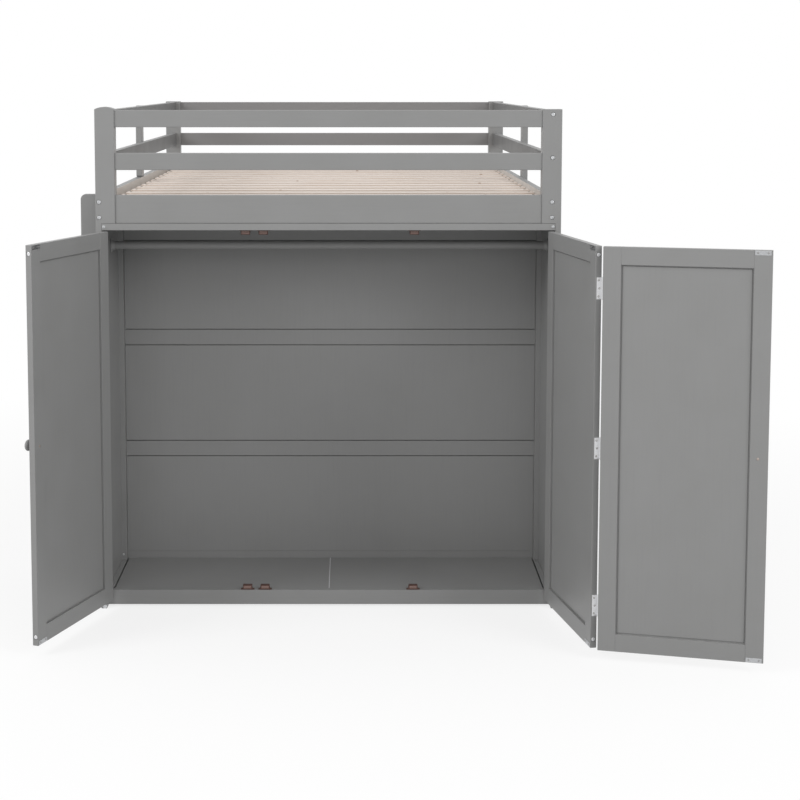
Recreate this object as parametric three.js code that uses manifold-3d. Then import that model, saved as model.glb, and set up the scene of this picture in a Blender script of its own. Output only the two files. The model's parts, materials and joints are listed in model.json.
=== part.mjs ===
// A painted wooden loft bunk: a full-size berth with guard rails on four sides, and a wardrobe with
// three doors under its foot end. Millimetres. X runs across the foot end, Y from foot to head and Z up.
// The origin is on the floor, under the middle of the wardrobe. The doors are modelled standing open.
import * as THREE from 'three';
import { mergeVertices } from 'three/addons/utils/BufferGeometryUtils.js';
import Module from 'manifold-3d';

const wasm = await Module();
wasm.setup();

// Overall size
const bedWidth = 1430;
const bedLength = 2055;
const seatGap = 0.3;
const cutOverrun = 5;
const gridStep = 1 / 1024;

// Posts
const postTopRise = 3;
const postWidth = 60;
const postDepth = 45;
const postEase = 1.5;
const crownRise = 7;
const sideStripWidth = 18;

// Rails round the berth
const railThickness = 22;
const railRecess = 4;
const railRound = 2;
const guardHeight = 52;
const topGuardRise = 131;
const lowerGuardRise = 129;
const bedRailTop = 1301;
const bedRailHeight = 87;
const guardSupportThickness = 21;
const guardSupportWidth = 60;
const guardSupportCorner = 8;
const stretcherBottom = 300;
const stretcherHeight = 87;

// Slats and the ledgers that carry them
const slatCount = 14;
const slatWidth = 72;
const slatThickness = 18;
const slatRound = 3;
const slatDrop = 16;
const slatEndGap = 0.7;
const slatRowInset = 64;
const ledgerOverlap = 24;
const ledgerHeight = 30;

// Wardrobe under the foot end
const wardrobeDepth = 400;
const wardrobeTopThickness = 20.7;
const wardrobeSideThickness = 18;
const sidePanelThickness = 5;
const sideFrontStile = 12;
const rearStileWidth = 34;
const rearStileDepth = 40;
const toeGap = 8;
const wardrobeRailHeight = 50;
const baseRailTop = 77;
const wardrobeRailShares = [0.335, 0.692];
const topRailHeight = 66;
const backThickness = 18;
const backPanelThickness = 5;
const floorTop = 54;
const floorThickness = 18;
const floorSeam = 1.5;
const floorSideGap = 6;
const floorEase = 1;
const cleatDepth = 18;
const cleatHeight = 17.7;
const plinthThickness = 18;
const plinthClearance = 2;
const bearerWidth = 40;
const bearerLift = 12;
const bearerFootLength = 80;
const rodDiameter = 26;
const rodSides = 24;
const rodDrop = 65;

// Doors
const doorThickness = 18;
const doorGap = 3;
const doorBottom = 31;
const doorTopGap = 3;
const doorFrameWidth = 50;
const doorPanelThickness = 6;
const doorPanelStep = 2;
const doorEase = 1;
const leftDoorOpening = THREE.MathUtils.degToRad(109.6);
const rightDoorOpening = THREE.MathUtils.degToRad(100.1);
const foldOpening = THREE.MathUtils.degToRad(65.8);

// Knobs
const knobDiameter = 33;
const knobLength = 26;
const knobNeckDiameter = 13;
const knobFootDiameter = 19;
const knobFootThickness = 2.5;
const knobNeckLength = 11;
const knobHeadSteps = 7;
const knobSides = 20;
const knobFlatnessShare = 0.7;
const knobEdgeInset = 28;

// Butt hinges
const hingeHeight = 62;
const hingeLeafThickness = 1;
const hingeLeafReach = 15;
const hingeKnuckleRadius = 3.2;
const hingeKnuckleCount = 5;
const hingeKnuckleSides = 14;
const hingeKnuckleGap = 0.4;
const hingePinRadius = 1.4;
const hingePinClearance = 0.3;
const hingePinHead = 1.2;
const hingePinProud = 3.4;
const topHingeDrop = 120;
const bottomHingeRise = 125;

// Ladder on the left side
const ladderWidth = 400;
const ladderSetBack = 50;
const ladderStileWidth = 53;
const ladderStileThickness = 22;
const ladderCorner = 16;
const ladderTreadCount = 4;
const ladderTreadThickness = 22;
const ladderTreadHousing = 8;
const ladderTreadInset = 4;

// Planes that several pieces share
const outerX = bedWidth / 2;
const frontY = -wardrobeDepth / 2;
const rearY = frontY + bedLength;
const wardrobeRearY = frontY + wardrobeDepth;
const bedRailBottom = bedRailTop - bedRailHeight;
const lowerGuardTop = bedRailTop + lowerGuardRise;
const topGuardTop = lowerGuardTop + topGuardRise;
const postTop = topGuardTop + postTopRise;
const guardInset = guardSupportThickness + seatGap;
const openingHalf = outerX - sideStripWidth;
const wardrobeTopBottom = bedRailBottom - seatGap - wardrobeTopThickness;
const slatTop = bedRailTop - slatDrop;
const slatEndInset = guardInset + railThickness + slatEndGap;
const doorTop = wardrobeTopBottom - doorTopGap;
const doorWidth = (2 * openingHalf - 4 * doorGap) / 3;
const hingeX = openingHalf - doorGap / 2;
const hingeY = frontY - hingePinProud;
const plinthFrontY = frontY + doorThickness + plinthClearance;
const plinthRearY = plinthFrontY + plinthThickness;
const backFrontY = wardrobeRearY - backThickness;

const greyPaint = new THREE.MeshStandardMaterial({ color: 0x8b8b8b, roughness: 0.45, metalness: 0 });
const barePine = new THREE.MeshStandardMaterial({ color: 0xdccabb, roughness: 0.7, metalness: 0 });
const zincPlate = new THREE.MeshStandardMaterial({ color: 0xc4c4c6, roughness: 0.35, metalness: 1 });

const bed = new THREE.Group();

function place(parent, name, geometry, material) {
  const mesh = new THREE.Mesh(geometry, material);
  mesh.name = name;
  parent.add(mesh);
  return mesh;
}

// Solids for the pieces that are cut or joined. Their corners are set to a fine grid, so that faces
// which are meant to be flush are exactly flush.
function toSolid(geometry) {
  const bare = geometry.clone();
  bare.deleteAttribute('normal');
  bare.deleteAttribute('uv');
  const corners = bare.attributes.position.array;
  corners.forEach((value, i) => {
    corners[i] = Math.round(value / gridStep) * gridStep;
  });
  const merged = mergeVertices(bare, gridStep / 2);
  return new wasm.Manifold(new wasm.Mesh({
    numProp: 3,
    vertProperties: merged.attributes.position.array,
    triVerts: new Uint32Array(merged.index.array),
  }));
}

function toGeometry(solid) {
  const mesh = solid.getMesh();
  const geometry = new THREE.BufferGeometry();
  geometry.setAttribute('position', new THREE.BufferAttribute(new Float32Array(mesh.vertProperties), 3));
  geometry.setIndex(new THREE.BufferAttribute(new Uint32Array(mesh.triVerts), 1));
  const flat = geometry.toNonIndexed();
  flat.computeVertexNormals();
  return flat;
}

// A box between two corners, for cuts and for housed joints
function block([x0, x1], [y0, y1], [z0, z1]) {
  const geometry = new THREE.BoxGeometry(Math.abs(x1 - x0), y1 - y0, z1 - z0);
  return geometry.translate((x0 + x1) / 2, (y0 + y1) / 2, (z0 + z1) / 2);
}

// An outline, or one with its front and back edges eased, as thick as depth
function thickOutline(outline, depth, ease) {
  return new THREE.ExtrudeGeometry(outline, {
    depth: depth - 2 * ease,
    bevelEnabled: ease > 0,
    bevelThickness: ease,
    bevelSize: ease,
    bevelOffset: -ease,
    bevelSegments: 1,
    curveSegments: 6,
  }).translate(0, 0, ease);
}

// Outlines drawn in X and Z stand across the bed, and those drawn in Y and Z stand along it
function acrossBed(outline, [y0, y1], ease) {
  return thickOutline(outline, y1 - y0, ease).rotateX(Math.PI / 2).translate(0, y1, 0);
}

function alongBed(outline, [x0, x1], ease) {
  return thickOutline(outline, x1 - x0, ease).rotateY(Math.PI / 2).rotateX(Math.PI / 2).translate(x0, 0, 0);
}

function polygon(points) {
  return new THREE.Shape(points.map(([x, y]) => new THREE.Vector2(x, y)));
}

function rectangle(width, height) {
  const [w, h] = [width / 2, height / 2];
  return polygon([[-w, -h], [w, -h], [w, h], [-w, h]]);
}

function roundedRectangle(width, height, radius) {
  const [w, h] = [width / 2, height / 2];
  const outline = new THREE.Shape();
  outline.absarc(w - radius, h - radius, radius, 0, Math.PI / 2);
  outline.absarc(-w + radius, h - radius, radius, Math.PI / 2, Math.PI);
  outline.absarc(-w + radius, -h + radius, radius, Math.PI, 1.5 * Math.PI);
  outline.absarc(w - radius, -h + radius, radius, 1.5 * Math.PI, 2 * Math.PI);
  return outline;
}

// Planed boards with their four long edges rounded, one for each way that they run
function boardAcross([x0, x1], [y0, y1], [z0, z1], radius) {
  const section = roundedRectangle(z1 - z0, y1 - y0, radius);
  return new THREE.ExtrudeGeometry(section, { depth: x1 - x0, bevelEnabled: false, curveSegments: 1 })
    .rotateY(Math.PI / 2).translate(x0, (y0 + y1) / 2, (z0 + z1) / 2);
}

function boardAlong([x0, x1], [y0, y1], [z0, z1], radius) {
  const section = roundedRectangle(x1 - x0, z1 - z0, radius);
  return new THREE.ExtrudeGeometry(section, { depth: y1 - y0, bevelEnabled: false, curveSegments: 1 })
    .rotateX(-Math.PI / 2).translate((x0 + x1) / 2, y0, (z0 + z1) / 2);
}

// Places on the left side of the bed have side -1 and those on the right side 1. inset is measured
// inwards from the outer face of the posts.
function atInset(side, inset) {
  return side * (outerX - inset);
}

function insetSpan(side, near, far) {
  const ends = [atInset(side, near), atInset(side, far)];
  return [Math.min(...ends), Math.max(...ends)];
}

// Front posts are 60 wide round the berth and notched to a strip beside the doors.
function frontPost(side, crowned) {
  const outline = new THREE.Shape();
  outline.moveTo(atInset(side, 0), 0);
  outline.lineTo(atInset(side, sideStripWidth), 0);
  outline.lineTo(atInset(side, sideStripWidth), bedRailBottom);
  outline.lineTo(atInset(side, postWidth), bedRailBottom);
  outline.lineTo(atInset(side, postWidth), postTop);
  if (crowned) {
    const radius = ((postWidth / 2) ** 2 + crownRise ** 2) / (2 * crownRise);
    const start = Math.asin((radius - crownRise) / radius);
    outline.absarc(atInset(side, postWidth / 2), postTop + crownRise - radius, radius, start, Math.PI - start);
  } else {
    outline.lineTo(atInset(side, 0), postTop);
  }
  return acrossBed(outline, [frontY, frontY + postDepth], postEase);
}

function rearPost(side) {
  const [x0, x1] = insetSpan(side, 0, postWidth);
  const outline = polygon([[x0, 0], [x1, 0], [x1, postTop], [x0, postTop]]);
  return acrossBed(outline, [rearY - postDepth, rearY], postEase);
}

function makePosts() {
  place(bed, 'front_left_post', frontPost(-1, true), greyPaint);
  place(bed, 'front_right_post', frontPost(1, false), greyPaint);
  place(bed, 'rear_left_post', rearPost(-1), greyPaint);
  place(bed, 'rear_right_post', rearPost(1), greyPaint);
}

// Rails across the two ends, between the posts
function makeEndRails() {
  const spanX = [-outerX + postWidth + seatGap, outerX - postWidth - seatGap];
  const frontFace = frontY + railRecess;
  const ends = {
    front: [frontFace, frontFace + railThickness],
    rear: [rearY - railRecess - railThickness, rearY - railRecess],
  };
  for (const [end, spanY] of Object.entries(ends)) {
    const rail = (spanZ) => boardAcross(spanX, spanY, spanZ, railRound);
    place(bed, `${end}_top_guard`, rail([topGuardTop - guardHeight, topGuardTop]), greyPaint);
    place(bed, `${end}_lower_guard`, rail([lowerGuardTop - guardHeight, lowerGuardTop]), greyPaint);
    place(bed, `${end}_bed_rail`, rail([bedRailBottom, bedRailTop]), greyPaint);
  }
  const stretcherSpan = [stretcherBottom, stretcherBottom + stretcherHeight];
  place(bed, 'rear_stretcher', boardAcross(spanX, ends.rear, stretcherSpan, railRound), greyPaint);
}

// Side rails between the front and rear posts. Each bed rail has its slat ledger glued along its foot.
// The left bed rail lies flush with the posts' outer face, and the right one lines up with the guards.
function bedRailWithLedger(side, inset, spanY) {
  const slatBottom = slatTop - slatThickness;
  const ledgerTop = slatBottom - seatGap;
  const outer = atInset(side, inset);
  const inner = atInset(side, inset + railThickness);
  const ledgerEdge = atInset(side, slatEndInset + ledgerOverlap);
  const section = polygon([
    [outer, bedRailBottom],
    [inner, bedRailBottom],
    [inner, ledgerTop - ledgerHeight],
    [ledgerEdge, ledgerTop - ledgerHeight],
    [ledgerEdge, ledgerTop],
    [inner, ledgerTop],
    [inner, bedRailTop],
    [outer, bedRailTop],
  ]);
  return acrossBed(section, spanY, 0);
}

function makeSideRails() {
  const spanY = [frontY + postDepth + seatGap, rearY - postDepth - seatGap];
  const middleY = (frontY + rearY) / 2;
  for (const [name, side] of [['left', -1], ['right', 1]]) {
    const spanX = insetSpan(side, guardInset, guardInset + railThickness);
    const guard = (top) => boardAlong(spanX, spanY, [top - guardHeight, top], railRound);
    place(bed, `${name}_top_guard`, guard(topGuardTop), greyPaint);
    place(bed, `${name}_lower_guard`, guard(lowerGuardTop), greyPaint);
    const bedRailInset = side < 0 ? 0 : guardInset;
    place(bed, `${name}_bed_rail`, bedRailWithLedger(side, bedRailInset, spanY), greyPaint);

    // The upright laps the guards outside. On the left it stands on the flush bed rail.
    const foot = side < 0 ? bedRailTop + seatGap : bedRailBottom;
    const height = topGuardTop - foot;
    const outline = roundedRectangle(guardSupportWidth, height, guardSupportCorner);
    const upright = alongBed(outline, insetSpan(side, 0, guardSupportThickness), railRound);
    upright.translate(0, middleY, foot + height / 2);
    place(bed, `${name}_guard_support`, upright, greyPaint);
  }
}

// Pine slats across the berth, evenly spaced between the two end rails
function makeSlats() {
  const halfLength = outerX - slatEndInset;
  const rowStart = frontY + railRecess + railThickness + slatRowInset + slatWidth / 2;
  const rowEnd = rearY - railRecess - railThickness - slatRowInset - slatWidth / 2;
  const pitch = (rowEnd - rowStart) / (slatCount - 1);
  for (let i = 0; i < slatCount; i += 1) {
    const y = rowStart + i * pitch;
    const spanY = [y - slatWidth / 2, y + slatWidth / 2];
    const slat = boardAcross([-halfLength, halfLength], spanY, [slatTop - slatThickness, slatTop], slatRound);
    place(bed, `slat_${String(i + 1).padStart(2, '0')}`, slat, barePine);
  }
}

// The panelled bays between the wardrobe's rails, from the base rail up
function wardrobeBays() {
  const topRailBottom = wardrobeTopBottom - topRailHeight;
  const bays = [];
  let bottom = baseRailTop;
  for (const share of wardrobeRailShares) {
    const centre = baseRailTop + share * (topRailBottom - baseRailTop);
    bays.push([bottom, centre - wardrobeRailHeight / 2]);
    bottom = centre + wardrobeRailHeight / 2;
  }
  bays.push([bottom, topRailBottom]);
  return bays;
}

// Wardrobe side: a frame of rails with a thin panel between them, and a thick rear stile
function wardrobeSide(side) {
  const front = frontY + postDepth + seatGap;
  const stileFront = wardrobeRearY - rearStileDepth;
  const top = bedRailBottom - seatGap;
  const plan = polygon([
    [atInset(side, 0), front],
    [atInset(side, 0), wardrobeRearY],
    [atInset(side, rearStileWidth), wardrobeRearY],
    [atInset(side, rearStileWidth), stileFront],
    [atInset(side, wardrobeSideThickness), stileFront],
    [atInset(side, wardrobeSideThickness), front],
  ]);
  let solid = toSolid(thickOutline(plan, top, 0));
  const cut = (insetNear, insetFar, spanY, spanZ) => {
    solid = solid.subtract(toSolid(block(insetSpan(side, insetNear, insetFar), spanY, spanZ)));
  };
  cut(-cutOverrun, wardrobeSideThickness + cutOverrun, [front - cutOverrun, stileFront], [-cutOverrun, toeGap]);
  const stileSpan = [stileFront - cutOverrun, wardrobeRearY + cutOverrun];
  const stileTop = wardrobeTopBottom - seatGap;
  cut(wardrobeSideThickness, rearStileWidth + cutOverrun, stileSpan, [stileTop, top + cutOverrun]);
  const panelOuter = (wardrobeSideThickness - sidePanelThickness) / 2;
  const panelInner = panelOuter + sidePanelThickness;
  for (const bay of wardrobeBays()) {
    const bayY = [front + sideFrontStile, stileFront];
    cut(-cutOverrun, panelOuter, bayY, bay);
    cut(panelInner, wardrobeSideThickness + cutOverrun, bayY, bay);
  }
  return toGeometry(solid);
}

// Wardrobe back: its rails stand proud of thin panels, and its foot has a lip for the floor boards
function wardrobeBack() {
  const halfWidth = outerX - rearStileWidth - seatGap;
  const panelFront = wardrobeRearY - backPanelThickness;
  const foot = floorTop - floorThickness - seatGap - cleatHeight;
  const lipTop = foot + cleatHeight;
  const points = [
    [wardrobeRearY, foot],
    [backFrontY - cleatDepth, foot],
    [backFrontY - cleatDepth, lipTop],
    [backFrontY, lipTop],
  ];
  for (const [bottom, top] of wardrobeBays()) {
    points.push([backFrontY, bottom], [panelFront, bottom], [panelFront, top], [backFrontY, top]);
  }
  const top = wardrobeTopBottom - seatGap;
  points.push([backFrontY, top], [wardrobeRearY, top]);
  return alongBed(polygon(points), [-halfWidth, halfWidth], 0);
}

function makeWardrobe() {
  const insideHalf = openingHalf - seatGap;
  const topSpan = [wardrobeTopBottom, wardrobeTopBottom + wardrobeTopThickness];
  const topBoard = boardAcross([-insideHalf, insideHalf], [frontY, wardrobeRearY], topSpan, floorEase);
  place(bed, 'wardrobe_top', topBoard, greyPaint);
  place(bed, 'left_wardrobe_side', wardrobeSide(-1), greyPaint);
  place(bed, 'right_wardrobe_side', wardrobeSide(1), greyPaint);
  place(bed, 'wardrobe_back', wardrobeBack(), greyPaint);

  // Plinth behind the feet of the doors, with a cleat for the floor boards' front edges
  const floorBottom = floorTop - floorThickness;
  const cleatTop = floorBottom - seatGap;
  const plinthSection = polygon([
    [plinthFrontY, toeGap],
    [plinthRearY, toeGap],
    [plinthRearY, cleatTop - cleatHeight],
    [plinthRearY + cleatDepth, cleatTop - cleatHeight],
    [plinthRearY + cleatDepth, cleatTop],
    [plinthRearY, cleatTop],
    [plinthRearY, floorTop],
    [plinthFrontY, floorTop],
  ]);
  place(bed, 'wardrobe_plinth', alongBed(plinthSection, [-insideHalf, insideHalf], 0), greyPaint);

  // Two floor boards meet over the bearer, notched round the rear stiles
  for (const [name, side] of [['left', -1], ['right', 1]]) {
    const floorEdge = side * (openingHalf - floorSideGap);
    const notchEdge = atInset(side, rearStileWidth + seatGap);
    const notchY = wardrobeRearY - rearStileDepth - seatGap;
    const plan = polygon([
      [side * floorSeam / 2, plinthRearY + seatGap],
      [floorEdge, plinthRearY + seatGap],
      [floorEdge, notchY],
      [notchEdge, notchY],
      [notchEdge, backFrontY - seatGap],
      [side * floorSeam / 2, backFrontY - seatGap],
    ]);
    const floor = thickOutline(plan, floorThickness, floorEase).translate(0, 0, floorBottom);
    place(bed, `${name}_floor_board`, floor, greyPaint);
  }

  // Bearer under their seam, standing on one foot at the origin
  const bearerFront = plinthRearY + cleatDepth + seatGap;
  const bearerRear = backFrontY - cleatDepth - seatGap;
  const bearerOutline = polygon([
    [bearerFront, bearerLift],
    [-bearerFootLength / 2, bearerLift],
    [-bearerFootLength / 2, 0],
    [bearerFootLength / 2, 0],
    [bearerFootLength / 2, bearerLift],
    [bearerRear, bearerLift],
    [bearerRear, cleatTop],
    [bearerFront, cleatTop],
  ]);
  place(bed, 'floor_bearer', alongBed(bearerOutline, [-bearerWidth / 2, bearerWidth / 2], 0), greyPaint);

  // Hanging rod from side to side at mid-depth
  const rod = new THREE.CylinderGeometry(rodDiameter / 2, rodDiameter / 2, 2 * insideHalf, rodSides);
  place(bed, 'hanging_rod', rod.rotateZ(Math.PI / 2).translate(0, 0, wardrobeTopBottom - rodDrop), greyPaint);
}

// Doors are drawn closed, from their own hinge axis. toward is 1 where the door runs to +X from its
// axis and -1 where it runs to -X, and its outer face looks to -Y.
function doorLeaf(toward) {
  const height = doorTop - doorBottom;
  const middleX = toward * (doorGap + doorWidth) / 2;
  const middleZ = (doorTop + doorBottom) / 2;
  const outline = rectangle(doorWidth, height);
  const spanY = [hingePinProud, hingePinProud + doorThickness];
  let solid = toSolid(acrossBed(outline, spanY, doorEase));
  const opening = (grow) => {
    const width = doorWidth - 2 * doorFrameWidth + 2 * grow;
    return rectangle(width, height - 2 * doorFrameWidth + 2 * grow);
  };
  const panelOuter = spanY[0] + (doorThickness - doorPanelThickness) / 2;
  const panelInner = panelOuter + doorPanelThickness;
  const recesses = [[spanY[0] - cutOverrun, panelOuter], [panelInner, spanY[1] + cutOverrun]];
  for (const recess of recesses) {
    solid = solid.subtract(toSolid(acrossBed(opening(0), recess, 0)));
  }
  // Both frame edges step down to the panel with a small bead
  const steps = [[spanY[0] - cutOverrun, spanY[0] + doorPanelStep], [spanY[1] - doorPanelStep, spanY[1] + cutOverrun]];
  for (const step of steps) {
    solid = solid.subtract(toSolid(acrossBed(opening(doorPanelStep), step, 0)));
  }
  return toGeometry(solid).translate(middleX, 0, middleZ);
}

// Turned knob, screwed to the outer face near the free edge
function doorKnob(toward) {
  const headHeight = knobLength - knobNeckLength;
  const profile = [
    new THREE.Vector2(0, 0),
    new THREE.Vector2(knobFootDiameter / 2, 0),
    new THREE.Vector2(knobFootDiameter / 2, knobFootThickness),
    new THREE.Vector2(knobNeckDiameter / 2, 2 * knobFootThickness),
    new THREE.Vector2(knobNeckDiameter / 2, knobNeckLength),
  ];
  // The head is a flattened ball, drawn as points round half a circle
  for (let i = 1; i < knobHeadSteps; i += 1) {
    const angle = (i / knobHeadSteps) * Math.PI;
    const radius = (knobDiameter / 2) * Math.sin(angle) ** knobFlatnessShare;
    profile.push(new THREE.Vector2(radius, knobNeckLength + headHeight * (1 - Math.cos(angle)) / 2));
  }
  profile.push(new THREE.Vector2(0, knobLength));
  const x = toward * (doorGap / 2 + doorWidth - knobEdgeInset);
  return new THREE.LatheGeometry(profile, knobSides).rotateX(Math.PI)
    .translate(x, hingePinProud - seatGap, (doorTop + doorBottom) / 2);
}

// One leaf of a butt hinge, from the pin's axis. Its plate lies on an end face, and its knuckles are
// the even ones from the foot up, with the pin riveted in them, or the odd ones, bored for the pin.
function hingeLeaf(toward, carriesPin) {
  const pitch = hingeHeight / hingeKnuckleCount;
  const knuckles = [];
  for (let i = carriesPin ? 0 : 1; i < hingeKnuckleCount; i += 2) {
    const bottom = i * pitch + (i === 0 ? 0 : hingeKnuckleGap / 2);
    const top = (i + 1) * pitch - (i === hingeKnuckleCount - 1 ? 0 : hingeKnuckleGap / 2);
    knuckles.push([bottom, top]);
  }
  const outer = doorGap / 2 - seatGap;
  const plateX = [toward * outer, toward * (outer - hingeLeafThickness)].sort((a, b) => a - b);
  const root = hingeKnuckleRadius + hingeKnuckleGap;
  const tip = hingePinProud + hingeLeafReach;

  // The plate is a comb whose teeth reach in to its own knuckles
  const teeth = knuckles.flatMap(([bottom, top]) => [[root, bottom], [0, bottom], [0, top], [root, top]]);
  const comb = carriesPin
    ? [[tip, 0], ...teeth.slice(1, -1), [tip, hingeHeight]]
    : [[tip, 0], [root, 0], ...teeth, [root, hingeHeight], [tip, hingeHeight]];
  let solid = toSolid(alongBed(polygon(comb), plateX, 0));
  const cylinder = (radius, bottom, top) => {
    const shape = new THREE.CylinderGeometry(radius, radius, top - bottom, hingeKnuckleSides);
    return toSolid(shape.rotateX(Math.PI / 2).translate(0, 0, (bottom + top) / 2));
  };
  for (const [bottom, top] of knuckles) {
    solid = solid.add(cylinder(hingeKnuckleRadius, bottom, top));
  }
  if (carriesPin) {
    solid = solid.add(cylinder(hingePinRadius, 0, hingeHeight));
    solid = solid.add(cylinder(hingeKnuckleRadius - hingePinClearance, -hingePinHead, 0));
    solid = solid.add(cylinder(hingeKnuckleRadius - hingePinClearance, hingeHeight, hingeHeight + hingePinHead));
  } else {
    solid = solid.subtract(cylinder(hingePinRadius + hingePinClearance, -cutOverrun, hingeHeight + cutOverrun));
  }
  return toGeometry(solid);
}

// Both hinges of one hinge line: the leaves on what carries the door, and the leaves on the door
function hangDoor(line, carrier, door, toward) {
  for (const [level, centre] of [['top', doorTop - topHingeDrop], ['bottom', doorBottom + bottomHingeRise]]) {
    const foot = centre - hingeHeight / 2;
    const fixed = hingeLeaf(-toward, true).translate(door.position.x, door.position.y, foot);
    place(carrier, `${line}_${level}_hinge_fixed_leaf`, fixed, zincPlate);
    place(door, `${line}_${level}_hinge_door_leaf`, hingeLeaf(toward, false).translate(0, 0, foot), zincPlate);
  }
}

function makeDoors() {
  const leftDoor = new THREE.Group();
  leftDoor.position.set(-hingeX, hingeY, 0);
  leftDoor.rotation.z = -leftDoorOpening;
  bed.add(leftDoor);
  place(leftDoor, 'left_door', doorLeaf(1), greyPaint);
  place(leftDoor, 'left_door_knob', doorKnob(1), greyPaint);
  hangDoor('left', bed, leftDoor, 1);

  const innerDoor = new THREE.Group();
  innerDoor.position.set(hingeX, hingeY, 0);
  innerDoor.rotation.z = rightDoorOpening;
  bed.add(innerDoor);
  place(innerDoor, 'inner_fold_door', doorLeaf(-1), greyPaint);
  hangDoor('right', bed, innerDoor, -1);

  // The outer door of the pair hangs on the inner door's free edge
  const outerDoor = new THREE.Group();
  outerDoor.position.set(-(doorWidth + doorGap), 0, 0);
  outerDoor.rotation.z = foldOpening;
  innerDoor.add(outerDoor);
  place(outerDoor, 'outer_fold_door', doorLeaf(-1), greyPaint);
  place(outerDoor, 'fold_door_knob', doorKnob(-1), greyPaint);
  hangDoor('fold', innerDoor, outerDoor, -1);
}

// Ladder against the left bed rail: two stiles with rounded heads, and treads housed in them
function makeLadder() {
  const inner = -outerX - seatGap;
  const outer = inner - ladderStileWidth;
  const stile = new THREE.Shape();
  stile.moveTo(inner, 0);
  stile.lineTo(inner, bedRailTop);
  stile.absarc(outer + ladderCorner, bedRailTop - ladderCorner, ladderCorner, Math.PI / 2, Math.PI);
  stile.lineTo(outer, 0);
  const front = frontY + ladderSetBack;
  const back = front + ladderWidth;
  const frontStile = [front, front + ladderStileThickness];
  const backStile = [back - ladderStileThickness, back];
  let solid = toSolid(acrossBed(stile, frontStile, postEase));
  solid = solid.add(toSolid(acrossBed(stile, backStile, postEase)));
  const treadPitch = bedRailTop / (ladderTreadCount + 1);
  for (let i = 1; i <= ladderTreadCount; i += 1) {
    const spanX = [outer + ladderTreadInset, inner - ladderTreadInset];
    const spanY = [frontStile[1] - ladderTreadHousing, backStile[0] + ladderTreadHousing];
    const spanZ = [i * treadPitch - ladderTreadThickness, i * treadPitch];
    solid = solid.add(toSolid(boardAlong(spanX, spanY, spanZ, slatRound)));
  }
  place(bed, 'ladder', toGeometry(solid), greyPaint);
}

makePosts();
makeEndRails();
makeSideRails();
makeSlats();
makeWardrobe();
makeDoors();
makeLadder();

export default bed;
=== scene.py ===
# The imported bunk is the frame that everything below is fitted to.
import json
import math

import bmesh
import bpy
from mathutils import Matrix, Vector


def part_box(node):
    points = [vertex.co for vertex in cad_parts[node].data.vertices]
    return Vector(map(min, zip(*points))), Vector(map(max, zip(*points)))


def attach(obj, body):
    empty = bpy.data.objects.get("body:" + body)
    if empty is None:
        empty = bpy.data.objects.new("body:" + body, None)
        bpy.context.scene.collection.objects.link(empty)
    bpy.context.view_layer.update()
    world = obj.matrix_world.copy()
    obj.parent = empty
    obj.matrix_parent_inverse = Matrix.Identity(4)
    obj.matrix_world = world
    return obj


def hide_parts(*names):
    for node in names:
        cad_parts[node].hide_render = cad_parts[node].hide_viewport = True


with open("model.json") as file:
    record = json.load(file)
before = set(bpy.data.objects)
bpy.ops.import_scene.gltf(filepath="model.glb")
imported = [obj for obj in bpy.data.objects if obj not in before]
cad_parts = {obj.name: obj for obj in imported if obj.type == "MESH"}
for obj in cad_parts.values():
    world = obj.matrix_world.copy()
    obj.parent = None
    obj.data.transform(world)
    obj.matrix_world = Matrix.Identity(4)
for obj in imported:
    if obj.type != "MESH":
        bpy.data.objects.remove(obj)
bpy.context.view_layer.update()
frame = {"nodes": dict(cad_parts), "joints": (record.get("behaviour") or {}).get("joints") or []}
nodes = frame["nodes"]


# Posts: planed softwood, 60 by 45 mm, sprayed with grey satin lacquer. The front two are notched to
# an 18 mm strip beside the doors. Bolts go in through counterbores, end on into the long rails and
# from the sides into the end rails.
def linear(code):
    """An sRGB hex colour as the linear colour that a shader takes."""
    parts = [int(code[i : i + 2], 16) / 255 for i in (1, 3, 5)]
    return [p / 12.92 if p <= 0.04045 else ((p + 0.055) / 1.055) ** 2.4 for p in parts] + [1]


def set_inputs(tree, node, inputs):
    """Gives a node's sockets, by name or number, a value, an output, or a node to take it from: its
    first output that is in use."""
    for key, value in inputs.items():
        if isinstance(value, bpy.types.Node):
            value = next(output for output in value.outputs if output.enabled)
        if isinstance(value, bpy.types.NodeSocket):
            tree.links.new(value, node.inputs[key])
        else:
            node.inputs[key].default_value = value


def add_node(tree, kind, inputs=None, **settings):
    """Adds a node with its settings, values and links."""
    node = tree.nodes.new(kind)
    for name, value in settings.items():
        setattr(node, name, value)
    set_inputs(tree, node, inputs or {})
    return node


def new_material(name):
    """A material with its node tree, its shader and the object coordinates that patterns lie in."""
    material = bpy.data.materials.new(name)
    material.use_nodes = True
    tree = material.node_tree
    place = add_node(tree, "ShaderNodeTexCoord").outputs["Object"]
    return material, tree, tree.nodes["Principled BSDF"], place


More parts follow.
